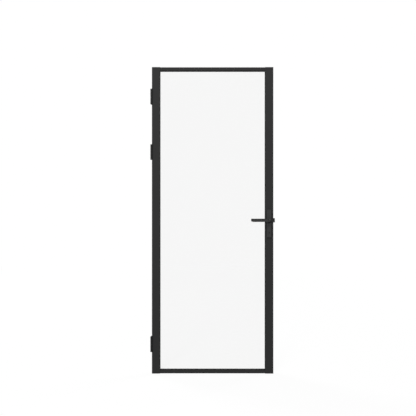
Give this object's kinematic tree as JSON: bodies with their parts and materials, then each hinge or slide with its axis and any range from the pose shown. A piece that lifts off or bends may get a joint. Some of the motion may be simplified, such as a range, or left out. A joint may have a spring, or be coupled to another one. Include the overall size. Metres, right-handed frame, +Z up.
{
  "type": "glass door",
  "caption": "Framed glass door leaf: slim black metal stiles and rails round a clear pane, with butt hinges, a mortice lock with latch and deadbolt, and lever handles.",
  "frame": {"origin": "bottom centre of the leaf, on its middle plane", "axes": "+Z up, +X from the hinge side to the lock side, -Y towards the viewer, the side it opens to"},
  "size_m": [0.854, 0.136, 2.1],
  "materials": {
    "frame_coat": "satin",
    "pane": "gloss",
    "gasket": "matte",
    "trim": "matte",
    "hinge_coat": "satin",
    "zinc_steel": "satin",
    "lock_coat": "satin",
    "handle_coat": "satin"
  },
  "bodies": {
    "hinge_frame_side": {"top_hinge_frame_leaf": "hinge_coat", "top_hinge_pin": "hinge_coat", "mid_hinge_frame_leaf": "hinge_coat", "mid_hinge_pin": "hinge_coat", "bottom_hinge_frame_leaf": "hinge_coat", "bottom_hinge_pin": "hinge_coat", "hinge_pin_tips": "hinge_coat", "hinge_washers": "trim"},
    "leaf": {"hinge_stile": "frame_coat", "lock_stile": "frame_coat", "top_rail": "frame_coat", "bottom_rail": "frame_coat", "glass_pane": "pane", "glazing_gasket": "gasket", "hole_plugs": "trim", "hinge_stile_top_cap": "trim", "hinge_stile_bottom_cap": "trim", "lock_stile_top_cap": "trim", "lock_stile_bottom_cap": "trim", "front_bush": "trim", "rear_bush": "trim", "top_hinge_door_leaf": "hinge_coat", "mid_hinge_door_leaf": "hinge_coat", "bottom_hinge_door_leaf": "hinge_coat", "hinge_screws": "hinge_coat", "corner_screws": "zinc_steel", "hinge_backing_plates": "zinc_steel", "lock_case": "zinc_steel", "lock_cover": "zinc_steel", "lock_tabs": "zinc_steel", "latch_spring": "zinc_steel", "forend": "lock_coat", "forend_screws": "lock_coat", "tab_rivets": "lock_coat", "cylinder_body": "lock_coat", "cylinder_screw": "lock_coat", "front_backplate": "handle_coat", "rear_backplate": "handle_coat", "plate_screws": "handle_coat"},
    "handle": {"front_lever": "handle_coat", "rear_lever": "handle_coat", "spindle": "zinc_steel", "follower": "zinc_steel", "lever_clips": "zinc_steel", "grub_screws": "handle_coat"},
    "latch": {"latch_bolt": "lock_coat"},
    "key_core": {"front_plug": "lock_coat", "rear_plug": "lock_coat", "cylinder_cam": "zinc_steel"},
    "dead_bolt": {"deadbolt": "lock_coat"}
  },
  "joints": [
    {"name": "door_swing", "type": "hinge", "parent": "hinge_frame_side", "child": "leaf", "pos_m": [-0.4195, -0.0265, 1.05], "axis": [0, 0, -1], "range_deg": [0, 180]},
    {"name": "handle_turn", "type": "hinge", "parent": "leaf", "child": "handle", "pos_m": [0.386, 0, 1.05], "axis": [0, -1, 0], "range_deg": [0, 45], "stiffness_Nm_per_rad": 1, "springref_deg": -34.38},
    {"name": "latch_slide", "type": "slide", "parent": "leaf", "child": "latch", "axis": [1, 0, 0], "range_m": [-0.012, 0], "deforming": ["latch_spring"]},
    {"name": "key_turn", "type": "hinge", "parent": "leaf", "child": "key_core", "pos_m": [0.386, 0, 0.965], "axis": [0, 1, 0], "range_deg": [0, 360]},
    {"name": "deadbolt_slide", "type": "slide", "parent": "leaf", "child": "dead_bolt", "axis": [1, 0, 0], "range_m": [0, 0.014]}
  ],
  "couplings": [
    {"joint": "latch_slide", "follows": "handle_turn", "m_per_rad": -0.01527},
    {"joint": "key_turn", "follows": "deadbolt_slide", "rad_per_m": 448.79}
  ]
}
